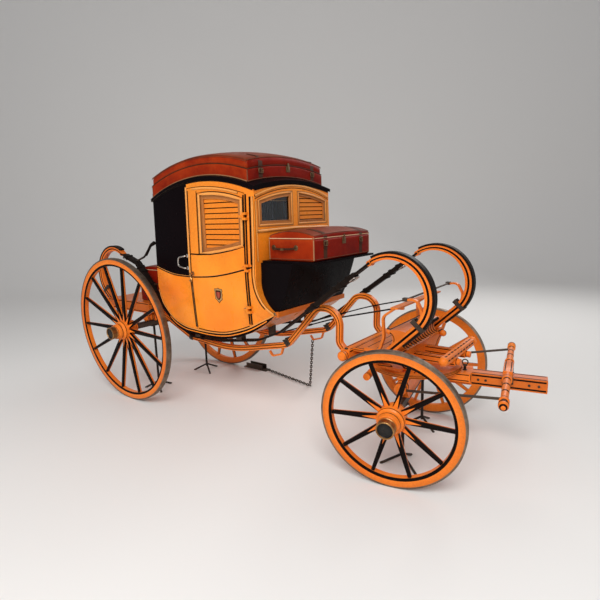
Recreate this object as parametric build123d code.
"""Travelling chariot on C-springs: a hung body, a crane-necked undercarriage and a turning fore-carriage.

Millimetres. While a piece is built, x runs forward from the rear axle, y to the vehicle's left and z up
from the floor. A piece of the fore-carriage is built with the pole straight ahead, x counted from the
kingpin, and then turned about the kingpin to the angle at which the vehicle stands. Every piece is moved
by the same distance at the end, so that the origin lies under the middle of the whole vehicle.
"""
from build123d import *
from math import cos, radians, sin, sqrt
import os

# Wheels
REAR_R = 725.0             # outer radius of the rear tyre
FRONT_R = 480.0            # outer radius of the front tyre
REAR_SPOKES = 14
FRONT_SPOKES = 10
TYRE_T = 14.0              # thickness of the iron tyre
FELLOE_H = 62.0            # height of the felloe under the tyre
FELLOE_W = 52.0            # width of felloe and tyre across the tread
REAR_TRACK = 1477.0        # between the outer faces of the rear felloes, at hub height
FRONT_TRACK = 1410.0
REAR_CAMBER = 3.0          # degrees that a rear wheel leans outward at its top
FRONT_CAMBER = 4.0
WHEELBASE = 2777.0
STEER_ANGLE = 11.0         # degrees to the left at which the fore-carriage stands
NAVE_R = 96.0              # largest radius of the nave, at the spokes
NAVE_END_R = 68.0          # radius of the nave at its ends
NAVE_IN = 165.0            # from the felloe's outer face in to the nave's inner end
NAVE_OUT = 62.0            # from the felloe's outer face out to the nave's outer end
CAP_R = 62.0               # radius of the hub cap
CAP_OUT = 118.0            # from the felloe's outer face to the cap's end
SPINDLE_R = 30.0           # radius of the axle arm inside the nave
SPINDLE_GAP = 0.05         # radial running clearance of the nave on its arm
SPINDLE_END = 12.0         # from the arm's end to the nave's outer end
SHOULDER_GAP = 5.0         # between the nave's inner end and the axle's shoulder
SPOKE_D = 44.0             # depth of a spoke along the axle
SPOKE_W = (34.0, 24.0)     # width of a spoke at the nave and at the felloe
SPOKE_Y = (-62.0, -26.0)   # middle of a spoke, from the felloe's outer face, at nave and felloe
SPOKE_TENON = 10.0         # depth of a spoke in the felloe

# Axles and beds
AXLE_BAR = 52.0            # side of the square iron axle between the arms
BED_HALF = 455.0           # half length of the wooden axle beds
BED_END_L = 105.0          # length of the turned end of an axle bed
BED_COLLAR_R = 44.0        # largest radius of the collars on that end
BED_NECK_R = 34.0          # radius between the collars
REAR_BED_T = 90.0          # thickness of the rear axle bed along the vehicle
REAR_BED_TOP = 850.0
REAR_DECK_X = (-660.0, 75.0)   # side timbers that carry the rear C-springs
REAR_DECK_TOP = 960.0
REAR_TIMBER_W = 70.0
REAR_BOARD_X = (-640.0, 340.0)     # board between the side timbers, under the trunk
REAR_BOARD_T = 20.0
REAR_BEAM_X = (-640.0, -560.0)     # cross beam under the rear end of the board
FRONT_BED_T = 90.0
FRONT_BED_TOP = 655.0
FRONT_BOSS_Z = 604.0       # height of the turned ends of the front bed
FRONT_BED_WAIST = 58.0     # thickness of the front bed between axle and ring, where it is hollowed

# Wheel plate between the turning and the fixed part
PLATE_T = 14.0             # thickness of each ring
PLATE_R = (305.0, 350.0)   # inner and outer radius
PLATE_GAP = 0.5            # running clearance between the two rings
KINGPIN_R = 16.0
KINGPIN_GAP = 0.05
KINGPIN_END = 6.0          # from the pin's lower end to the iron axle

# Turning fore-carriage, x from the kingpin
FUTCHELL_Y = 74.0          # middle of each futchell
FUTCHELL_W = 44.0
FUTCHELL_Z = (590.0, 655.0)
FUTCHELL_X = (-275.0, 420.0)
POLE_END_X = 913.0
POLE_HALF = 50.0           # half width of the pole stub
POLE_Z = (560.0, 652.0)
POLE_STUB_X = 120.0        # rear end of the pole stub
SWAY_HALF = 330.0          # half length of the sway bar behind the axle
SWAY_R = 27.0
SPLINTER_X = 663.0
SPLINTER_HALF = 708.0
SPLINTER_R = 27.0
SPLINTER_BLOCK = (120.0, 62.0)     # half length and side of its square middle
SPLINTER_END_R = 36.0      # largest radius of its barrel-shaped ends
SPLINTER_END_L = 95.0
STAY_R = 9.0

# Fixed upper carriage over the kingpin
UPPER_BED_HALF = 470.0
UPPER_BED_T = 100.0
UPPER_BED_TOP = 850.0
UPPER_BED_FOOT_HALF = 250.0    # half length of its lower face, from which the ends sweep up
UPPER_END_Z = 790.0        # underside of its ends
BLOCK_HALF = 300.0         # half length of the scrolled block on the upper bed
BLOCK_T = 150.0
BLOCK_NECK = 38.0          # how deep the block is hollowed at its front and rear
BLOCK_TOP = 985.0
PLATFORM_T = 22.0          # thickness of the boards behind the upper bed
PLATFORM_HALF = 320.0
TRANSOM_X = (2350.0, 2425.0)
TRANSOM_HALF = 375.0
TRANSOM_END_L = 62.0       # length of its round ends
TRANSOM_Z = (722.0, 802.0)
BAR_Y = 108.0              # middle of the two long bars of the upper carriage
BAR_W = 46.0
BAR_Z = (738.0, 788.0)
BAR_END_X = 3167.0
CROSSBAR_X = 3115.0
CROSSBAR_HALF = 305.0
CROSSBAR_S = 48.0          # side of the front crossbar
BALL_R = 33.0

# Perches
PERCH_Y = 305.0            # distance of each perch from the middle
PERCH_W = 44.0             # width of a perch
PERCH_H = 50.0             # height of a perch

# C-springs
SPRING_Y = 406.0           # distance of each C-spring from the middle
SPRING_W = 52.0            # width of the spring leaves
SPRING_R_OUT = 297.0       # outer radius of the C
SPRING_R_IN = 240.0        # inner radius of the C
SPRING_TIP_DEG = 122.0     # where the upper arm ends, from straight ahead
SPRING_FOOT_DEG = -47.0    # where the C runs out into its straight foot
FRONT_C = (2780.0, 1240.0)     # centre of the front C
REAR_C = (-505.0, 1225.0)
EYE_R = 20.0               # radius of the rolled end of a spring
GRIP_R = 10.0              # radius of the curved rods behind the body

# Leather
BRACE_T = 16.0             # thickness of a main brace
BRACE_W = 58.0             # width of a main brace
CHECK_W = 26.0             # width of a check strap
CHECK_T = 9.0
CHECK_Y = 262.0            # distance of each check strap from the middle
BODY_IRON_Z = (690.0, 900.0)       # irons between body and straps, before both are cut out of them
BODY_IRONS = [   # x and y of each iron, and its width
    (800.0, SPRING_Y, BRACE_W),
    (1340.0, SPRING_Y, BRACE_W),
    (1580.0, CHECK_Y, CHECK_W),
]
STEP_TOP_Z = 1148.0        # middle of the S-shaped irons' upper end
STEP_T = 16.0

# Hung body
BODY_REAR_X = 400.0
BODY_FRONT_X = 1672.0
SIDE_MID_X = 1090.0        # where the sides stand out furthest
SIDE_BOW_R = 12000.0       # radius of the bow of the sides, seen from above
TOP_HALF = 530.0           # half width at the roof, waist and bottom, in the middle
WAIST_HALF = 552.0
LOW_HALF = 515.0
WAIST_Z = 1330.0
SIDE_TOP_Z = 2200.0
SIDE_LOW_Z = 740.0
WALL_T = 34.0              # thickness of the body walls and doors
FLOOR_T = 40.0
ROOF_MID_X = 1090.0        # top of the roof
ROOF_MID_Z = 2206.0
ROOF_BOW_R = 1700.0        # radius of the roof's bow from front to rear
ROOF_CROWN = 56.0          # how much the roof falls from its middle to a side
ROOF_T = 26.0
ROOF_LIP = 14.0            # overhang of the cornice
DOOR_REAR_X = 905.0
DOOR_FRONT_X = 1572.0
DOOR_GAP = 5.0
DOOR_SILL = 52.0           # height of the sill under the door
DOOR_TOP_Z = (2056.0, 2054.0, 1985.0)  # height of the door's top at its rear edge, middle and front edge
HINGE_Z = (1060.0, 1400.0, 1810.0)     # middle of each hinge of a door
HINGE_OUT = 10.0           # from the side's widest line at the door's front edge out to the hinge pin
HINGE_R = 9.0
HINGE_PIN_R = 5.0
HINGE_L = 60.0             # length of a hinge, of which its middle third turns
HINGE_LEAF = (36.0, 6.0)   # reach of a hinge's leaf along the side and its least thickness
LIGHT_X = (1052.0, 1540.0)     # opening in the door
LIGHT_LOW_Z = (1508.0, 1580.0)
LIGHT_TOP_Z = (2000.0, 1996.0, 1942.0)
GLASS_T = 4.0
SHUTTER_T = 18.0
SHUTTER_IN = 16.0          # from the side's widest top line in to the middle of a shutter
SHUTTER_FRAME = 46.0
SLATS = 10
SLAT_T = 8.0
SLAT_TILT = 35.0           # degrees that a slat leans out at its lower edge
FRONT_LIGHT_Y = (50.0, 466.0)  # the two openings in the front
FRONT_LIGHT_Z = (1740.0, 1925.0, 1995.0)   # bottom, top at the pillar, top at the middle post
LEG_HOLE_Z = (1090.0, 1400.0)  # way from the cabin to the leg room in the boot
LEG_HOLE_HALF = 400.0
BENCH_Z = (1075.0, 1190.0, 1760.0)     # bottom and top of the seat, top of its back
BENCH_FRONT_X = 860.0
BENCH_HALF = 540.0
BENCH_BACK_T = 55.0

# Boot and tray in front of the body
BOOT_HALF = 474.0
BOOT_TOP_Z = 1440.0
BOOT_FRONT_X = BODY_FRONT_X + 318.0
BOOT_WALL = 22.0
TOE_BOARD_X = 1838.0       # board across the foot of the boot
TOE_BOARD_Z = (1014.0, 1056.0)
TOE_BOARD_T = 30.0
TOE_BOARD_HALF = 496.0
TRAY_T = 16.0
TRAY_HALF = 452.0
TRAY_FRONT_X = BODY_FRONT_X + 516.0

# Trunks
TRUNK_WALL = 12.0
FRONT_TRUNK_GAP = 50.0     # between the body and the front trunk, for its lid to open
FRONT_TRUNK_L = 438.0      # length of the front trunk along the vehicle
FRONT_TRUNK_X = (BODY_FRONT_X + FRONT_TRUNK_GAP, BODY_FRONT_X + FRONT_TRUNK_GAP + FRONT_TRUNK_L)
FRONT_TRUNK_HALF = 424.0
FRONT_TRUNK_Z = (BOOT_TOP_Z + TRAY_T, 1622.0)  # bottom and parting line
FRONT_LID_RISE = 84.0      # of the domed lid over the parting line
LID_BOW = 0.48             # fall of a lid's top to its front and rear edges, as a share of its height
LID_CROWN = 0.2            # fall of a lid's top to its side edges
ROOF_TRUNK_X = (398.0, 1606.0)
ROOF_TRUNK_HALF = 512.0
ROOF_TRUNK_BASE = 92.0     # height of its lower half over the roof
ROOF_LID_RISE = 74.0       # height of its lid
REAR_TRUNK_X = (-150.0, 352.0)
REAR_TRUNK_HALF = 360.0
REAR_TRUNK_TOP = 1285.0
REAR_LID_RISE = 56.0
LID_HINGE_R = 7.0          # radius of a trunk hinge's barrels
LID_PIN_R = 3.5
LID_HINGE_OUT = 8.0        # from the trunk's face out to the hinge's pin
LID_HINGE_L = 66.0         # length of a trunk hinge, of which its middle third turns
LID_LEAF = (22.0, 4.0)     # height and thickness of its leaves

# Stands, chain and shoe
STAND_R = 12.0
STAND_LEG = 160.0          # reach of a stand's foot from its post
STAND_HUB_Z = 80.0         # height at which the three legs meet
STAND_Y = 345.0            # distance of a stand from the middle
STAND_GAP = 0.3            # under an axle
LINK_W = 26.0
LINK_L = 44.0
LINK_T = 7.0
CHAIN_TOP = (1604.0, 305.0, 611.3)
CHAIN_Z = 13.0             # height of the chain's middle where it lies on the floor
CHAIN_FLOOR = (1372.0, 560.0)
SHOE_X = (300.0, 650.0)
SHOE_Y = 716.0
SHOE_HALF = 42.0
SHOE_T = 10.0
SHOE_WALL = 60.0           # height of the shoe's side walls

# What follows from these sizes
REAR_TILT = radians(REAR_CAMBER)
FRONT_TILT = radians(FRONT_CAMBER)
REAR_AXLE_Z = REAR_R * cos(REAR_TILT) + NAVE_IN * sin(REAR_TILT)
FRONT_AXLE_Z = FRONT_R * cos(FRONT_TILT) + NAVE_IN * sin(FRONT_TILT)
REAR_AXLE_HALF = REAR_TRACK / 2 - (NAVE_IN + SHOULDER_GAP) * cos(REAR_TILT)
FRONT_AXLE_HALF = FRONT_TRACK / 2 - (NAVE_IN + SHOULDER_GAP) * cos(FRONT_TILT)
RING_LOW_Z = FRONT_BED_TOP
RING_TOP_Z = RING_LOW_Z + PLATE_T + PLATE_GAP
UPPER_BED_Z = RING_TOP_Z + PLATE_T
REARMOST_X = REAR_C[0] - SPRING_R_OUT - BRACE_T
FOREMOST_X = WHEELBASE + POLE_END_X * cos(radians(STEER_ANGLE)) + POLE_HALF * sin(radians(STEER_ANGLE))
ORIGIN_X = (REARMOST_X + FOREMOST_X) / 2
HINGE_Y = WAIST_HALF + HINGE_OUT - SIDE_BOW_R + sqrt(SIDE_BOW_R ** 2 - (DOOR_FRONT_X - SIDE_MID_X) ** 2)


def box(x, y, z):
    """A block between three pairs of limits."""
    middle = Pos((x[0] + x[1]) / 2, (y[0] + y[1]) / 2, (z[0] + z[1]) / 2)
    return middle * Box(x[1] - x[0], y[1] - y[0], z[1] - z[0])


def path(start, *steps):
    """Edges through chosen points: a step is a point, or an arc's middle point and end."""
    edges, here = [], start
    for step in steps:
        if isinstance(step[0], tuple):
            edges.append(ThreePointArc(here, *step))
            here = step[-1]
        else:
            edges.append(Line(here, step))
            here = step
    return Curve() + edges


def side_plate(outline, y, thick):
    """A plate of an outline in x and z, centred on y."""
    face = make_face(Plane.XZ * outline)
    return Pos(0, y, 0) * extrude(face, amount=thick / 2, both=True)


def end_plate(outline, x, thick):
    """A plate of an outline in y and z, centred on x."""
    face = make_face(Plane.YZ * outline)
    return Pos(x, 0, 0) * extrude(face, amount=thick / 2, both=True)


def strap(corners, radii, y, wide, thick):
    """A band of flat leather or iron along rounded corners in x and z, lying across y."""
    line = FilletPolyline(*[(x, 0, z) for x, z in corners], radius=radii)
    section = Plane(line @ 0, x_dir=(0, 1, 0), z_dir=line % 0) * Rectangle(wide, thick)
    return Pos(0, y, 0) * sweep(section, line)


def rod(a, b, radius):
    """A round rod between two points."""
    line = Line(a, b)
    return sweep(Plane(line @ 0, z_dir=line % 0) * Circle(radius), line)


def turned(profile, y=0.0):
    """A piece turned about the y axis, from distances along it and radii."""
    points = [(0, profile[0][0])] + [(r, a) for a, r in profile] + [(0, profile[-1][0])]
    face = make_face(Plane.XY * Polyline(*points, close=True))
    return Pos(0, y, 0) * revolve(face, axis=Axis.Y)


def both_sides(piece):
    """A piece and its mirror image on the other side of the vehicle."""
    return [piece, mirror(piece, about=Plane.XZ)]


def join(pieces):
    """Several solids as one node."""
    solids = []
    for piece in pieces:
        solids += piece.solids()
    return Compound(children=solids) if len(solids) > 1 else solids[0]


# Wheels
def wheel_wood(radius, spokes):
    """Nave, spokes and felloe; y points outward, with y = 0 on the felloe's outer face."""
    rim_r = radius - TYRE_T
    inner_r = rim_r - FELLOE_H
    felloe = Pos(0, -FELLOE_W / 2, 0) * Rot(90, 0, 0) * (
        Cylinder(rim_r, FELLOE_W) - Cylinder(inner_r, FELLOE_W))
    belly = SPOKE_Y[0] - SPOKE_D / 2 - 6, SPOKE_Y[0] + SPOKE_D / 2 + 6
    nave = turned([(-NAVE_IN, NAVE_END_R - 8), (-NAVE_IN + 15, NAVE_END_R + 6), (-NAVE_IN + 29, NAVE_END_R + 3),
                   (belly[0] - 12, NAVE_END_R + 16), (belly[0], NAVE_R), (belly[1], NAVE_R),
                   (belly[1] + 12, NAVE_R - 4), (belly[1] + 38, NAVE_END_R + 14), (belly[1] + 56, NAVE_END_R + 4),
                   (belly[1] + 60, NAVE_END_R + 9), (NAVE_OUT - 8, NAVE_END_R), (NAVE_OUT, NAVE_END_R)])
    tenon_r = inner_r + SPOKE_TENON
    foot = Plane((0, SPOKE_Y[0], NAVE_R - 30), z_dir=(0, 0, 1)) * Rectangle(SPOKE_W[0], SPOKE_D)
    head = Plane((0, SPOKE_Y[1], tenon_r), z_dir=(0, 0, 1)) * Rectangle(SPOKE_W[1], SPOKE_D * 0.8)
    spoke = loft([foot, head])
    wood = felloe + nave
    for i in range(spokes):
        wood += Rot(0, 360 / spokes * (i + 0.5), 0) * spoke
    arm_end = NAVE_OUT - SPINDLE_END
    bore = turned([(-NAVE_IN - 1, SPINDLE_R + SPINDLE_GAP), (arm_end + 2, SPINDLE_R + SPINDLE_GAP)])
    return wood - bore


def wheel_tyre(radius):
    return Pos(0, -FELLOE_W / 2, 0) * Rot(90, 0, 0) * (
        Cylinder(radius, FELLOE_W) - Cylinder(radius - TYRE_T, FELLOE_W))


def hub_cap():
    """The turned cap that closes the nave."""
    return turned([(NAVE_OUT, CAP_R), (NAVE_OUT + 5, CAP_R), (NAVE_OUT + 9, CAP_R - 4), (CAP_OUT - 16, CAP_R - 4),
                   (CAP_OUT - 8, CAP_R - 1), (CAP_OUT, CAP_R - 7), (CAP_OUT - 5, CAP_R - 12),
                   (CAP_OUT - 9, CAP_R - 18), (CAP_OUT - 6, CAP_R / 3)])


def axle(half, camber, z, track, radius):
    """A square bar with two round arms that point down a little, in line with the leaning wheels."""
    bar = box((-AXLE_BAR / 2, AXLE_BAR / 2), (-half, half), (z - AXLE_BAR / 2, z + AXLE_BAR / 2))
    arm = turned([(-NAVE_IN - SHOULDER_GAP - 30, SPINDLE_R), (NAVE_OUT - SPINDLE_END, SPINDLE_R)])
    bar += at_wheel(arm, track, camber, radius, 1) + at_wheel(arm, track, camber, radius, -1)
    return bar


def at_wheel(piece, track, camber, radius, side):
    """Stands a piece of a wheel in its place: side is 1 for the left wheel and -1 for the right."""
    height = radius * cos(radians(camber))
    spin = 0 if side > 0 else 180
    return Pos(0, side * track / 2, height) * Rot(-side * camber, 0, 0) * Rot(0, 0, spin) * piece


# Undercarriage
def perch():
    corners = [(-40, 912), (560, 645), (1130, 598), (1790, 737), (2105, 1088), (2305, 1082), (2296, 828),
               (TRANSOM_X[0] + 30, 758)]
    radii = [260, 1500, 160, 110, 125, 60]
    return strap(corners, radii, PERCH_Y, PERCH_W, PERCH_H)


def bed_end(z):
    """Turned end of a bed with two collars, pointing to the left from y = 0."""
    third = BED_END_L / 3
    profile = [(-1, BED_NECK_R), (third * 0.3, BED_NECK_R), (third * 0.4, BED_COLLAR_R), (third, BED_COLLAR_R),
               (third * 1.1, BED_NECK_R), (third * 1.8, BED_NECK_R), (third * 1.9, BED_COLLAR_R),
               (third * 2.6, BED_COLLAR_R), (BED_END_L, BED_NECK_R - 8)]
    return Pos(0, 0, z) * turned(profile)


def rear_bed():
    """Wooden bed over the rear axle: its underside is hollowed and its ends are turned."""
    low = REAR_AXLE_Z + AXLE_BAR / 2
    half, rise = BED_HALF - BED_END_L, 14
    outline = path((-half, low), (-half + rise, low), ((0, low + rise), (half - rise, low)), (half, low),
                   (half, REAR_BED_TOP), (-half, REAR_BED_TOP), (-half, low))
    bed = end_plate(outline, 0, REAR_BED_T)
    for piece in both_sides(Pos(0, half, 0) * bed_end((low + REAR_BED_TOP) / 2)):
        bed += piece
    return bed


def rear_deck():
    """Frame over the rear bed: two side timbers, a board between them and a cross beam under its end."""
    inner = SPRING_Y - REAR_TIMBER_W / 2
    deck = box(REAR_BOARD_X, (-inner, inner), (REAR_DECK_TOP - REAR_BOARD_T, REAR_DECK_TOP))
    deck += box(REAR_BEAM_X, (-inner, inner), (REAR_BED_TOP, REAR_DECK_TOP - REAR_BOARD_T))
    for side in (1, -1):
        middle = side * SPRING_Y
        deck += box(REAR_DECK_X, (middle - REAR_TIMBER_W / 2, middle + REAR_TIMBER_W / 2),
                    (REAR_BED_TOP, REAR_DECK_TOP))
    return deck


def spring_eye(centre, forward):
    """Middle of the rolled end of a C-spring, in x and z."""
    radius, angle = SPRING_R_OUT - EYE_R, radians(SPRING_TIP_DEG + 3)
    return centre[0] + forward * radius * cos(angle), centre[1] + radius * sin(angle)


def c_spring(centre, forward, foot_z):
    """One C-spring in x and z; forward is 1 for the front pair and -1 for the rear pair."""
    cx, cz = centre

    def at(radius, angle):
        return cx + forward * radius * cos(radians(angle)), cz + radius * sin(radians(angle))
    middle = (SPRING_TIP_DEG + SPRING_FOOT_DEG) / 2
    out_run = at(SPRING_R_OUT, SPRING_FOOT_DEG)
    in_run = at(SPRING_R_IN + 22, SPRING_FOOT_DEG)
    fall = radians(90 + SPRING_FOOT_DEG)
    out_drop = (out_run[1] - foot_z) / sin(fall)
    in_drop = (in_run[1] - foot_z) / sin(fall)
    out_foot = out_run[0] - forward * out_drop * cos(fall), foot_z
    in_foot = in_run[0] - forward * in_drop * cos(fall), foot_z
    outline = path(at(SPRING_R_OUT, SPRING_TIP_DEG), (at(SPRING_R_OUT, middle), out_run), out_foot, in_foot,
                   in_run, (at(SPRING_R_IN + 8, middle), at(SPRING_R_IN + 24, SPRING_TIP_DEG)),
                   at(SPRING_R_OUT, SPRING_TIP_DEG))
    spring = side_plate(outline, SPRING_Y, SPRING_W)
    tip_x, tip_z = spring_eye(centre, forward)
    eye = Pos(tip_x, SPRING_Y, tip_z) * Rot(90, 0, 0) * Cylinder(EYE_R, SPRING_W)
    return spring + eye


def spring_leather(centre, forward):
    """Leather over the outer back of a C-spring."""
    cx, cz = centre
    radius = SPRING_R_OUT + BRACE_T

    def at(r, angle):
        return cx + forward * r * cos(radians(angle)), cz + r * sin(radians(angle))
    start, end = SPRING_TIP_DEG - 4, SPRING_FOOT_DEG
    middle = (start + end) / 2
    fall = radians(90 + end)
    run = 160.0
    out_end, in_end = at(radius, end), at(SPRING_R_OUT, end)
    out_foot = out_end[0] - forward * run * cos(fall), out_end[1] - run * sin(fall)
    in_foot = in_end[0] - forward * run * cos(fall), in_end[1] - run * sin(fall)
    outline = path(at(SPRING_R_OUT, start), at(radius, start), (at(radius, middle), out_end), out_foot,
                   in_foot, in_end, (at(SPRING_R_OUT, middle), at(SPRING_R_OUT, start)))
    return side_plate(outline, SPRING_Y, BRACE_W)


def main_brace():
    """Leather brace from the front spring's eye, under the body, to the rear spring's eye."""
    corners = [spring_eye(FRONT_C, 1), (1800, 872), (1560, 770), (1130, 705), (720, 690), (330, 905),
               (-91, 1366), spring_eye(REAR_C, -1)]
    return strap(corners, [200, 400, 400, 200, 200, 60], SPRING_Y, BRACE_W, BRACE_T)


def check_strap():
    """Thin strap from under the body to the bar on the upper carriage."""
    corners = [(1530, 768), (1768, 849), (2250, 1010), (2800, STEP_TOP_Z)]
    return strap(corners, [1500, 3000], CHECK_Y, CHECK_W, CHECK_T)


def body_iron(x, y, wide):
    """Iron block between the body's floor and the strap that runs under it."""
    return box((x - 32, x + 32), (y - wide / 2, y + wide / 2), (BODY_IRON_Z[0], BODY_IRON_Z[1]))


# Upper carriage
def ring(z):
    return Pos(0, 0, z + PLATE_T / 2) * (Cylinder(PLATE_R[1], PLATE_T) - Cylinder(PLATE_R[0], PLATE_T))


def long_bars():
    """The two long bars of the upper carriage, with round front ends."""
    bars = []
    for side in (1, -1):
        bar = box((TRANSOM_X[1], CROSSBAR_X + 20), (side * BAR_Y - BAR_W / 2, side * BAR_Y + BAR_W / 2), BAR_Z)
        middle_z = (BAR_Z[0] + BAR_Z[1]) / 2
        nose = rod((CROSSBAR_X + 20, side * BAR_Y, middle_z), (BAR_END_X, side * BAR_Y, middle_z), BAR_W / 2)
        bars.append(bar + nose)
    return join(bars)


def upper_bed():
    """Fixed bed over the kingpin, with the upper ring and the raised block that carries the platform."""
    foot, end = UPPER_BED_FOOT_HALF, UPPER_BED_HALF
    knee = (foot + end) / 2, (UPPER_BED_Z + UPPER_END_Z) / 2 + 18
    bed = end_plate(path((-end, UPPER_BED_TOP), (-end, UPPER_END_Z), ((-knee[0], knee[1]), (-foot, UPPER_BED_Z)),
                         (foot, UPPER_BED_Z), (knee, (end, UPPER_END_Z)), (end, UPPER_BED_TOP),
                         (-end, UPPER_BED_TOP)), WHEELBASE, UPPER_BED_T)
    near, far = WHEELBASE - BLOCK_T / 2, WHEELBASE + BLOCK_T / 2
    neck = (UPPER_BED_TOP + BLOCK_TOP) / 2
    block = side_plate(path((near, UPPER_BED_TOP), ((near + BLOCK_NECK, neck), (near, BLOCK_TOP - 12)),
                            ((WHEELBASE, BLOCK_TOP), (far, BLOCK_TOP - 12)),
                            ((far - BLOCK_NECK, neck), (far, UPPER_BED_TOP)), (near, UPPER_BED_TOP)),
                       0, 2 * BLOCK_HALF)
    pin_low = FRONT_AXLE_Z + AXLE_BAR / 2 + KINGPIN_END
    pin = rod((WHEELBASE, 0, pin_low), (WHEELBASE, 0, UPPER_BED_Z + 20), KINGPIN_R)
    return bed + block + Pos(WHEELBASE, 0, 0) * ring(RING_TOP_Z) + pin


def transom():
    bar = box(TRANSOM_X, (-TRANSOM_HALF, TRANSOM_HALF), TRANSOM_Z)
    mid_x, mid_z = sum(TRANSOM_X) / 2, sum(TRANSOM_Z) / 2
    radius = (TRANSOM_X[1] - TRANSOM_X[0]) / 2
    end = turned([(-1, radius - 6), (10, radius - 6), (12, radius), (TRANSOM_END_L - 16, radius),
                  (TRANSOM_END_L - 4, radius - 8), (TRANSOM_END_L, radius - 20)])
    for piece in both_sides(Pos(mid_x, TRANSOM_HALF, mid_z) * end):
        bar += piece
    return bar


def platform():
    """Boards between the transom and the upper bed."""
    return box((TRANSOM_X[1], WHEELBASE - UPPER_BED_T / 2), (-PLATFORM_HALF, PLATFORM_HALF),
               (BAR_Z[1], BAR_Z[1] + PLATFORM_T))


def crossbar():
    z = BAR_Z[1], BAR_Z[1] + CROSSBAR_S
    bar = box((CROSSBAR_X - CROSSBAR_S / 2, CROSSBAR_X + CROSSBAR_S / 2), (-CROSSBAR_HALF, CROSSBAR_HALF), z)
    for side in (1, -1):
        bar += Pos(CROSSBAR_X, side * CROSSBAR_HALF, sum(z) / 2) * Sphere(BALL_R)
    return bar


def scroll_iron():
    """Small iron scroll inside a front C-spring, rising from the spring's clip."""
    corners = [(2990, 1064), (3002, 1160), (2960, 1240), (2884, 1232)]
    return strap(corners, [60, 45], SPRING_Y, 30, 14)


def step_iron():
    """S-shaped iron from the transom up to the platform bar."""
    foot_z = BAR_Z[1] + PLATFORM_T + STEP_T / 2
    corners = [(2520, foot_z), (2640, foot_z), (2676, 920), (2668, 1075), (2770, STEP_TOP_Z), (2826, STEP_TOP_Z)]
    return strap(corners, [40, 90, 50, 30], PERCH_Y, 26, STEP_T)


def platform_bar():
    """Flat bar across the top of the S-shaped irons."""
    low = STEP_TOP_Z + STEP_T / 2
    return box((2770, 2826), (-400, 400), (low, low + 12))


# Turning fore-carriage, x from the kingpin
def front_bed():
    low = FRONT_AXLE_Z + AXLE_BAR / 2
    half, side = BED_HALF - BED_END_L, FRONT_BED_T / 2
    hollow = (FRONT_BED_T - FRONT_BED_WAIST) / 2
    middle = (low + FRONT_BED_TOP) / 2
    bed = side_plate(path((-side, low), ((-side + hollow, middle), (-side, FRONT_BED_TOP)), (side, FRONT_BED_TOP),
                          ((side - hollow, middle), (side, low)), (-side, low)), 0, 2 * half)
    for piece in both_sides(Pos(0, half, 0) * bed_end(FRONT_BOSS_Z)):
        bed += piece
    bed -= futchells()
    bed -= Pos(0, 0, low) * Cylinder(KINGPIN_R + KINGPIN_GAP, 700)
    return bed + ring(RING_LOW_Z)


def futchells():
    """Two long timbers through the bed, joined by a turned sway bar at their rear ends."""
    z = sum(FUTCHELL_Z) / 2
    frame = rod((FUTCHELL_X[0], -SWAY_HALF, z), (FUTCHELL_X[0], SWAY_HALF, z), SWAY_R)
    for side in (1, -1):
        middle = side * FUTCHELL_Y
        frame += box(FUTCHELL_X, (middle - FUTCHELL_W / 2, middle + FUTCHELL_W / 2), FUTCHELL_Z)
    return frame


def pole_stub():
    half = FUTCHELL_Y - FUTCHELL_W / 2
    rear = box((POLE_STUB_X, FUTCHELL_X[1]), (-half, half), POLE_Z)
    front = box((FUTCHELL_X[1], POLE_END_X), (-POLE_HALF, POLE_HALF), POLE_Z)
    return rear + front


def splinter_bar():
    half, side = SPLINTER_BLOCK
    z = POLE_Z[1] + side / 2
    neck = SPLINTER_HALF - SPLINTER_END_L
    shape = [(0, SPLINTER_R), (half + 60, SPLINTER_R), (half + 66, SPLINTER_R + 7), (half + 80, SPLINTER_R + 7),
             (half + 86, SPLINTER_R - 2), (neck - 20, SPLINTER_R - 6), (neck - 12, SPLINTER_END_R - 4), (neck, SPLINTER_END_R - 4),
             (neck + 6, SPLINTER_R - 4), (neck + 14, SPLINTER_R - 4), (neck + 34, SPLINTER_END_R),
             (SPLINTER_HALF - 14, SPLINTER_END_R - 3), (SPLINTER_HALF, SPLINTER_END_R - 14)]
    arm = Pos(SPLINTER_X, 0, z) * turned(shape)
    bar = arm + mirror(arm, about=Plane.XZ)
    return bar + box((SPLINTER_X - side / 2, SPLINTER_X + side / 2), (-half, half), (POLE_Z[1], POLE_Z[1] + side))


def splinter_stay():
    """Iron stay from the splinter bar back to the turning bed."""
    z = POLE_Z[1] + SPLINTER_BLOCK[1] / 2
    return rod((SPLINTER_X, 560, z), (0, 418, FRONT_BED_TOP - 62), STAY_R)


# Hung body
def body_outline():
    """Side view of the body."""
    top = ROOF_MID_Z + 100
    return path((BODY_REAR_X, top), (BODY_FRONT_X, top), (BODY_FRONT_X, WAIST_Z),
                ((BODY_FRONT_X + 40, 1140), (BODY_FRONT_X + 166, 1030)),
                ((1455, 812), (1080, 750)), (720, 762), ((455, 925), (385, 1180)),
                (BODY_REAR_X - 2, WAIST_Z), (BODY_REAR_X, top))


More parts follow.
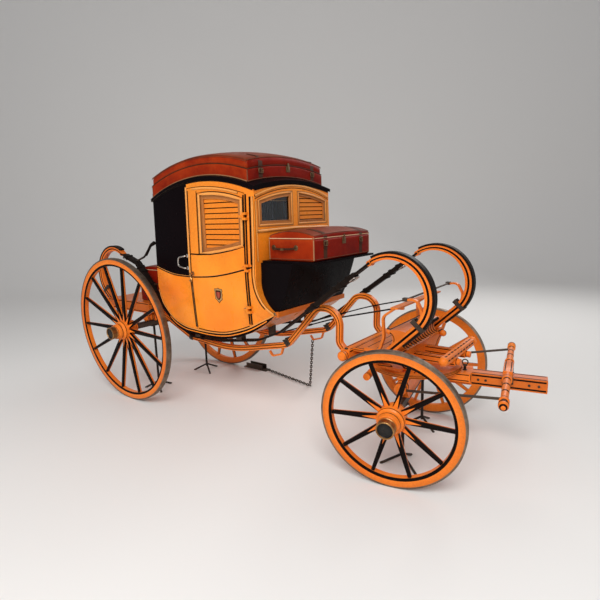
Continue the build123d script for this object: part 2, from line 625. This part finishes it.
def side_solid(inset, side):
    """Everything inside one bowed side wall: its section is turned about a far upright axis."""
    axis_y = WAIST_HALF - SIDE_BOW_R
    deep = WAIST_HALF * 2.4
    knee_z = (WAIST_Z + SIDE_LOW_Z) / 2
    outline = path((WAIST_HALF - deep, SIDE_TOP_Z + 400), (TOP_HALF - inset, SIDE_TOP_Z + 400),
                   (TOP_HALF - inset, SIDE_TOP_Z), (WAIST_HALF - inset, WAIST_Z),
                   ((WAIST_HALF - inset - 16, knee_z), (LOW_HALF - inset, SIDE_LOW_Z)),
                   (LOW_HALF - inset, SIDE_LOW_Z - 300), (WAIST_HALF - deep, SIDE_LOW_Z - 300),
                   (WAIST_HALF - deep, SIDE_TOP_Z + 400))
    face = make_face(Plane.YZ * outline)
    turn = 20.0
    axis = Axis((0, axis_y, 0), (0, 0, 1))
    solid = revolve(face, axis=axis, revolution_arc=turn)
    solid = Pos(0, axis_y, 0) * Rot(0, 0, -turn / 2) * Pos(0, -axis_y, 0) * solid
    solid = Pos(SIDE_MID_X, 0, 0) * solid
    return solid if side > 0 else mirror(solid, about=Plane.XZ)


def arc_radius(half_chord, rise):
    """Radius of an arc that rises by a given amount over half its chord."""
    return (half_chord ** 2 + rise ** 2) / (2 * rise)


def above_crown(middle_x, top_z, bow_r, crown_r, half):
    """Everything above a surface that is bowed along the vehicle and crowned across it."""
    drop = crown_r - sqrt(crown_r ** 2 - half ** 2)
    rise = half
    outline = path((-half, top_z - drop), ((0, top_z), (half, top_z - drop)), (half, top_z + rise),
                   (-half, top_z + rise), (-half, top_z - drop))
    face = make_face(Plane.YZ * outline)
    turn = 110.0
    axis_z = top_z - bow_r
    solid = revolve(face, axis=Axis((0, 0, axis_z), (0, 1, 0)), revolution_arc=turn)
    solid = Pos(0, 0, axis_z) * Rot(0, -turn / 2, 0) * Pos(0, 0, -axis_z) * solid
    return Pos(middle_x, 0, 0) * solid


def above_roof(lift):
    """Everything above the crowned surface of the roof, lifted by a distance."""
    return above_crown(ROOF_MID_X, ROOF_MID_Z + lift, ROOF_BOW_R + lift, arc_radius(TOP_HALF, ROOF_CROWN),
                       WAIST_HALF + 200)


def cabin(inset):
    """The body's block, every wall moved in by the inset."""
    face = make_face(Plane.XZ * body_outline())
    if inset > 0:
        face = offset(face, amount=-inset)
    block = extrude(face, amount=800, both=True)
    return block & side_solid(inset, 1) & side_solid(inset, -1)


def door_face(gap):
    """Side view of the door, larger by the gap all round."""
    rear_z, mid_z, front_z = DOOR_TOP_Z
    x0, x1 = DOOR_REAR_X - gap, DOOR_FRONT_X + gap
    frame = make_face(Plane.XZ * path((x0, 500), (x1, 500), (x1, front_z + gap),
                                      (((x0 + x1) / 2, mid_z + gap), (x0, rear_z + gap)), (x0, 500)))
    within = offset(make_face(Plane.XZ * body_outline()), amount=gap - DOOR_SILL)
    return frame & within


def light_face(gap):
    """Side view of the opening in the door."""
    x0, x1 = LIGHT_X[0] - gap, LIGHT_X[1] + gap
    rear_z, mid_z, front_z = LIGHT_TOP_Z
    low_mid = (LIGHT_LOW_Z[0] + LIGHT_LOW_Z[1]) / 2 - 6
    return make_face(Plane.XZ * path((x0, LIGHT_LOW_Z[0] - gap),
                                     (((x0 + x1) / 2, low_mid - gap), (x1, LIGHT_LOW_Z[1] - gap)),
                                     (x1, front_z + gap),
                                     (((x0 + x1) / 2, mid_z + gap), (x0, rear_z + gap)),
                                     (x0, LIGHT_LOW_Z[0] - gap)))


def front_light(side, gap):
    """Block of one opening in the front wall."""
    y0, y1 = FRONT_LIGHT_Y
    low, pillar, post = FRONT_LIGHT_Z
    outline = path((side * (y0 - gap), low - gap), (side * (y1 + gap), low - gap),
                   (side * (y1 + gap), pillar + gap),
                   ((side * (y0 + y1) / 2, (pillar + post) / 2 + 14 + gap), (side * (y0 - gap), post + gap)),
                   (side * (y0 - gap), low - gap))
    return end_plate(outline, BODY_FRONT_X, WALL_T * 4)


def side_cut(face, side):
    """A face in side view, pushed through one side wall."""
    block = extrude(face, amount=800, both=True)
    return block & box((0, 3000), (0, 900) if side > 0 else (-900, 0), (0, 3000))


def body_shell():
    shell = cabin(0) - cabin(WALL_T) - above_roof(-ROOF_T)
    for side in (1, -1):
        shell -= side_cut(door_face(DOOR_GAP), side)
        shell -= front_light(side, 0)
    leg_hole = box((BODY_FRONT_X - 200, BODY_FRONT_X + 300), (-LEG_HOLE_HALF, LEG_HOLE_HALF), LEG_HOLE_Z)
    return shell - leg_hole


def roof():
    block = box((BODY_REAR_X - ROOF_LIP, BODY_FRONT_X + ROOF_LIP), (-700, 700), (1900, 2400))
    block = block & side_solid(-ROOF_LIP, 1) & side_solid(-ROOF_LIP, -1)
    return (block & above_roof(-ROOF_T)) - above_roof(0)


def hinge_leaf(side, z, forward, height):
    """Flat arm of a hinge, from its pin to the door behind it or to the pillar in front of it."""
    reach, thick = HINGE_LEAF
    start, end = (DOOR_GAP, reach) if forward > 0 else (0, reach)
    x = sorted((DOOR_FRONT_X + forward * start, DOOR_FRONT_X + forward * end))
    y = sorted((side * (LOW_HALF - 60), side * (HINGE_Y + HINGE_R - 1)))
    leaf = box(x, y, (z - height / 2, z + height / 2)) - cabin(0)
    arm = sorted((DOOR_FRONT_X, DOOR_FRONT_X + forward * end))
    return leaf + box(arm, sorted((side * (HINGE_Y - thick / 2), side * (HINGE_Y + thick / 2))),
                      (z - height / 2, z + height / 2))


def hinge_barrel(side, z, height, radius):
    return Pos(DOOR_FRONT_X, side * HINGE_Y, z) * Cylinder(radius, height)


def door_hinge(side, z):
    """Fixed part of a hinge: a pin between an upper and a lower barrel, each on the pillar."""
    third = HINGE_L / 3
    fixed = hinge_barrel(side, z, HINGE_L, HINGE_PIN_R)
    for end in (1, -1):
        height = third - 0.5
        middle = z + end * (HINGE_L - height) / 2
        fixed += hinge_barrel(side, middle, height, HINGE_R) + hinge_leaf(side, middle, 1, height)
    return fixed


def door(side):
    """Door with the turning barrels of its hinges."""
    panel = (cabin(0) - cabin(WALL_T)) & side_cut(door_face(0), side)
    panel -= side_cut(light_face(0), side)
    for z in HINGE_Z:
        third = HINGE_L / 3
        panel += hinge_barrel(side, z, third, HINGE_R) + hinge_leaf(side, z, -1, third)
        panel -= hinge_barrel(side, z, third + 2, HINGE_PIN_R + SPINDLE_GAP)
    return panel


def shutter(side):
    """Louvred shutter in the door: a frame and slats that stand a little open."""
    inside = side * (TOP_HALF - SHUTTER_IN)
    whole = Pos(0, inside, 0) * extrude(light_face(0), amount=SHUTTER_T / 2, both=True)
    frame = whole - Pos(0, inside, 0) * extrude(light_face(-SHUTTER_FRAME), amount=SHUTTER_T, both=True)
    tongue = Pos(0, inside, 0) * extrude(light_face(4 - SHUTTER_FRAME), amount=SHUTTER_T, both=True)
    low, top = LIGHT_LOW_Z[0] + SHUTTER_FRAME, LIGHT_TOP_Z[0] - SHUTTER_FRAME
    pitch = (top - low) / SLATS
    for i in range(-1, SLATS + 1):
        place = Pos((LIGHT_X[0] + LIGHT_X[1]) / 2, inside, low + pitch * (i + 0.5))
        slat = place * Rot(side * SLAT_TILT, 0, 0) * Box(LIGHT_X[1] - LIGHT_X[0], SLAT_T, pitch * 0.9)
        frame += slat & tongue
    return frame


def front_pane(side, thick):
    """Pane or shutter that fills one opening in the front wall."""
    middle = BODY_FRONT_X - WALL_T / 2
    return front_light(side, 0) & box((middle - thick / 2, middle + thick / 2), (-600, 600), (1500, 2200))


def boot_outline(inset):
    top = BOOT_TOP_Z - inset
    return path((BODY_FRONT_X - 60, top), (BOOT_FRONT_X - inset, top),
                ((1925 - inset, 1240), (BODY_FRONT_X + 164 - inset * 0.8, 1034 + inset)),
                (BODY_FRONT_X - 60, 1034 + inset), (BODY_FRONT_X - 60, top))


def boot():
    outer = side_plate(boot_outline(0), 0, 2 * BOOT_HALF)
    inner = side_plate(boot_outline(BOOT_WALL), 0, 2 * (BOOT_HALF - BOOT_WALL))
    return outer - inner - cabin(0)


def toe_board():
    """Board across the foot of the boot and of the body."""
    return box((TOE_BOARD_X - TOE_BOARD_T / 2, TOE_BOARD_X + TOE_BOARD_T / 2), (-TOE_BOARD_HALF, TOE_BOARD_HALF),
               TOE_BOARD_Z)


def tray():
    return box((BODY_FRONT_X, TRAY_FRONT_X), (-TRAY_HALF, TRAY_HALF), (BOOT_TOP_Z, BOOT_TOP_Z + TRAY_T))


def bench():
    """Bench with its back, seen through the front window."""
    z0, z1, z2 = BENCH_Z
    x0 = BODY_REAR_X - 40
    seat = box((x0, BENCH_FRONT_X), (-BENCH_HALF, BENCH_HALF), (z0, z1))
    back = box((x0, BODY_REAR_X + WALL_T + BENCH_BACK_T), (-BENCH_HALF, BENCH_HALF), (z1, z2))
    return (seat + back) & cabin(WALL_T)


# Trunks
def trunk_base(x, half, z):
    outer = box(x, (-half, half), z)
    inner = box((x[0] + TRUNK_WALL, x[1] - TRUNK_WALL), (-half + TRUNK_WALL, half - TRUNK_WALL),
                (z[0] + TRUNK_WALL, z[1] + 1))
    return outer - inner


def trunk_lid(x, half, z, rise):
    """Hollow lid, bowed from front to rear and crowned across."""
    middle, long_half = (x[0] + x[1]) / 2, (x[1] - x[0]) / 2
    bow_r, crown_r = arc_radius(long_half, LID_BOW * rise), arc_radius(half, LID_CROWN * rise)

    def block(inset, low):
        solid = box((x[0] + inset, x[1] - inset), (-half + inset, half - inset), (low, z + rise + 10))
        return solid - above_crown(middle, z + rise - inset, bow_r - inset, crown_r, half + 60)
    return block(0, z) - block(TRUNK_WALL, z - 10)


def roof_trunk(low, high):
    """A layer of the roof trunk between two heights over the roof, hollow inside."""
    def block(inset):
        return box((ROOF_TRUNK_X[0] + inset, ROOF_TRUNK_X[1] - inset),
                   (-ROOF_TRUNK_HALF + inset, ROOF_TRUNK_HALF - inset), (1800, 2600))
    return (block(0) & above_roof(low)) - above_roof(high), (block(TRUNK_WALL) & above_roof(
        low + TRUNK_WALL if low == 0 else low - 1)) - above_roof(high + 1 if low == 0 else high - TRUNK_WALL)


def lid_hinge(x, out, z, middles, lid):
    """Barrels and leaves along a trunk's hinge line: the lid's middle thirds, or the base's ends and pins."""
    height, thick = LID_LEAF
    third = LID_HINGE_L / 3
    axis_x = x + out * LID_HINGE_OUT
    pieces = []
    for middle in middles:
        for end in ((0,) if lid else (-1, 1)):
            long = third if lid else third - 0.5
            y = middle + end * (LID_HINGE_L - long) / 2
            barrel = rod((axis_x, y - long / 2, z), (axis_x, y + long / 2, z), LID_HINGE_R)
            rise = sorted((z, z + (height if lid else -height)))
            barrel += box(sorted((x, x + out * thick)), (y - long / 2, y + long / 2), rise)
            pieces.append(barrel)
        pin_half = LID_HINGE_L / 2
        reach = LID_PIN_R + SPINDLE_GAP if lid else LID_PIN_R
        pin = rod((axis_x, middle - pin_half, z), (axis_x, middle + pin_half, z), reach)
        pieces = [piece - pin for piece in pieces] if lid else pieces + [pin]
    return pieces


def add_all(solid, pieces):
    for piece in pieces:
        solid += piece
    return solid


# Stands, chain and shoe
def stand(x, y, top):
    post = rod((x, y, STAND_HUB_Z - 25), (x, y, top - 8), STAND_R)
    post += box((x - 30, x + 30), (y - 45, y + 45), (top - 8, top))
    for angle in (90, 210, 330):
        a = radians(angle)
        post += rod((x, y, STAND_HUB_Z), (x + STAND_LEG * cos(a), y + STAND_LEG * sin(a), 0), STAND_R * 0.8)
    return post & box((x - 300, x + 300), (y - 300, y + 300), (0, top))


def link():
    """One link, long side along x."""
    long = LINK_L - LINK_W
    ring_face = SlotCenterToCenter(long, LINK_W) - SlotCenterToCenter(long, LINK_W - 2 * LINK_T)
    return extrude(ring_face, amount=LINK_T / 2, both=True)


def chain():
    """Links from the hook down to the floor and along it to the shoe, every second one turned a quarter."""
    points = [Vector(*CHAIN_TOP), Vector(*CHAIN_FLOOR, CHAIN_Z), Vector(SHOE_X[1] + 0.3, SHOE_Y, CHAIN_Z)]
    lengths = [(b - a).length for a, b in zip(points, points[1:])]
    count = round((sum(lengths) - 2 * LINK_T) / (LINK_L - 2 * LINK_T + 1))
    pitch = (sum(lengths) - LINK_L) / (count - 1)
    links = []
    for i in range(count):
        run = LINK_L / 2 + pitch * i
        leg = 0 if run < lengths[0] else 1
        step = (points[leg + 1] - points[leg]).normalized()
        at = points[leg] + step * (run - leg * lengths[0])
        where = Plane(at, x_dir=step, z_dir=step.cross(Vector(0, 1, 0)))
        links.append(where * Rot(45 + 90 * (i % 2), 0, 0) * link())
    return join(links)


def shoe():
    """Drag shoe: a shallow iron channel that lies on the floor."""
    x0, x1 = SHOE_X
    channel = box((x0, x1), (SHOE_Y - SHOE_HALF, SHOE_Y + SHOE_HALF), (0, SHOE_T))
    for side in (1, -1):
        edge = SHOE_Y + side * (SHOE_HALF - SHOE_T / 2)
        channel += box((x0 + 40, x1 - 60), (edge - SHOE_T / 2, edge + SHOE_T / 2), (0, SHOE_WALL))
    return channel


def perch_hook():
    """Iron hook under a perch, which the drag chain hangs from."""
    corners = [(1736, 712), (1712, 642), (1612, 612), (1582, 652)]
    return strap(corners, [28, 22], PERCH_Y, 20, 14)


def rear_grip():
    """Curved iron rod that rises from a main brace behind the body."""
    line = FilletPolyline((-120, SPRING_Y, 1380), (30, SPRING_Y, 1432), (150, SPRING_Y, 1550),
                          (210, SPRING_Y, 1574), radius=70)
    return sweep(Plane(line @ 0, z_dir=line % 0) * Circle(GRIP_R), line)


def write(name, piece, turning=False):
    """Moves a finished piece to the vehicle's origin and writes it."""
    if turning:
        piece = Pos(WHEELBASE, 0, 0) * Rot(0, 0, STEER_ANGLE) * piece
    export_step(Pos(-ORIGIN_X, 0, 0) * piece, f"parts/{name}.step")


os.makedirs("parts", exist_ok=True)

WHEELS = [   # name, radius, spokes, track, camber, side, turning
    ("near_rear", REAR_R, REAR_SPOKES, REAR_TRACK, REAR_CAMBER, -1, False),
    ("far_rear", REAR_R, REAR_SPOKES, REAR_TRACK, REAR_CAMBER, 1, False),
    ("near_front", FRONT_R, FRONT_SPOKES, FRONT_TRACK, FRONT_CAMBER, -1, True),
    ("far_front", FRONT_R, FRONT_SPOKES, FRONT_TRACK, FRONT_CAMBER, 1, True),
]
for name, radius, spokes, track, camber, side, turning in WHEELS:
    write(name + "_wheel", at_wheel(wheel_wood(radius, spokes), track, camber, radius, side), turning)
    write(name + "_tyre", at_wheel(wheel_tyre(radius), track, camber, radius, side), turning)
    write(name + "_hub_cap", at_wheel(hub_cap(), track, camber, radius, side), turning)

write("rear_axle", axle(REAR_AXLE_HALF, REAR_CAMBER, REAR_AXLE_Z, REAR_TRACK, REAR_R))
bed, deck, cross_bar = rear_bed(), rear_deck(), transom()
write("rear_bed", bed)
write("rear_deck", deck)
write("front_transom", cross_bar)
crane = perch() - bed - deck - cross_bar
rear_spring, front_spring = c_spring(REAR_C, -1, REAR_DECK_TOP), c_spring(FRONT_C, 1, UPPER_BED_TOP)
brace = main_brace() - rear_spring - front_spring
check = check_strap()
write("perches", join(both_sides(crane)))
write("perch_hooks", join(both_sides(perch_hook() - crane)))
write("rear_springs", join(both_sides(rear_spring)))
write("front_springs", join(both_sides(front_spring)))
write("spring_leathers", join(both_sides(spring_leather(REAR_C, -1) - deck)
                              + both_sides(spring_leather(FRONT_C, 1))))
write("main_braces", join(both_sides(brace)))
write("rear_grips", join(both_sides(rear_grip() - brace)))
bars = long_bars()
write("long_bars", bars)
write("upper_bed", upper_bed() - bars)
write("platform", platform())
write("front_crossbar", crossbar())
write("scroll_irons", join(both_sides(scroll_iron() - front_spring)))
steps = platform_bar() + step_iron() + mirror(step_iron(), about=Plane.XZ)
write("step_irons", steps)
check -= steps
write("check_straps", join(both_sides(check)))

write("front_axle", axle(FRONT_AXLE_HALF, FRONT_CAMBER, FRONT_AXLE_Z, FRONT_TRACK, FRONT_R), True)
turning_bed, splinter = front_bed(), splinter_bar()
write("front_bed", turning_bed, True)
write("futchells", futchells(), True)
write("pole_stub", pole_stub(), True)
write("splinter_bar", splinter, True)
write("splinter_stays", join(both_sides(splinter_stay() - turning_bed - splinter)), True)

block = cabin(0)
irons = []
for x, y, wide in BODY_IRONS:
    pieces = (body_iron(x, y, wide) - block - brace - check).solids()
    irons += both_sides(max(pieces, key=lambda piece: piece.center().Z))
write("body_irons", join(irons))
write("body_shell", body_shell())
write("door_hinges", join([door_hinge(side, z) for side in (1, -1) for z in HINGE_Z]))
write("roof", roof())
for name, side in (("near", -1), ("far", 1)):
    write(name + "_door", door(side))
    write(name + "_shutter", shutter(side))
write("front_glass", front_pane(-1, GLASS_T))
write("front_shutter", front_pane(1, SHUTTER_T))
toe = toe_board() - block
write("toe_board", toe)
write("boot", boot() - toe)
write("tray", tray())
write("bench", bench())

LID_DROP = arc_radius(TOP_HALF, ROOF_CROWN) - sqrt(arc_radius(TOP_HALF, ROOF_CROWN) ** 2 - ROOF_TRUNK_HALF ** 2)
PARTING_R = ROOF_BOW_R + ROOF_TRUNK_BASE - LID_DROP
ROOF_LID_Z = ROOF_MID_Z - ROOF_BOW_R + sqrt(PARTING_R ** 2 - (ROOF_MID_X - ROOF_TRUNK_X[0]) ** 2)
REAR_TRUNK_Z = (REAR_DECK_TOP, REAR_TRUNK_TOP)
roof_base, roof_hollow = roof_trunk(0, ROOF_TRUNK_BASE)
roof_lid, roof_lid_hollow = roof_trunk(ROOF_TRUNK_BASE, ROOF_TRUNK_BASE + ROOF_LID_RISE)
TRUNKS = [   # name, base, lid, face with the hinges, its outward side, height of the hinges, their places
    ("front_trunk", trunk_base(FRONT_TRUNK_X, FRONT_TRUNK_HALF, FRONT_TRUNK_Z),
     trunk_lid(FRONT_TRUNK_X, FRONT_TRUNK_HALF, FRONT_TRUNK_Z[1], FRONT_LID_RISE),
     FRONT_TRUNK_X[0], -1, FRONT_TRUNK_Z[1], (-FRONT_TRUNK_HALF * 0.6, FRONT_TRUNK_HALF * 0.6)),
    ("roof_trunk", roof_base - roof_hollow, roof_lid - roof_lid_hollow,
     ROOF_TRUNK_X[0], -1, ROOF_LID_Z, (40 - ROOF_TRUNK_HALF, ROOF_TRUNK_HALF - 40)),
    ("rear_trunk", trunk_base(REAR_TRUNK_X, REAR_TRUNK_HALF, REAR_TRUNK_Z),
     trunk_lid(REAR_TRUNK_X, REAR_TRUNK_HALF, REAR_TRUNK_TOP, REAR_LID_RISE),
     REAR_TRUNK_X[1], 1, REAR_TRUNK_TOP, (-REAR_TRUNK_HALF * 0.6, REAR_TRUNK_HALF * 0.6)),
]
for name, base, lid, face_x, out, z, middles in TRUNKS:
    write(name, add_all(base, lid_hinge(face_x, out, z, middles, False)))
    write(name + "_lid", add_all(lid, lid_hinge(face_x, out, z, middles, True)))

STAND_TURN = radians(STEER_ANGLE)
stands = []
for side in (1, -1):
    stands.append(stand(0, side * STAND_Y, REAR_AXLE_Z - AXLE_BAR / 2 - STAND_GAP))
    stands.append(stand(WHEELBASE - side * STAND_Y * sin(STAND_TURN), side * STAND_Y * cos(STAND_TURN),
                        FRONT_AXLE_Z - AXLE_BAR / 2 - STAND_GAP))
write("axle_stands", join(stands))
write("drag_chain", chain())
write("drag_shoe", shoe())
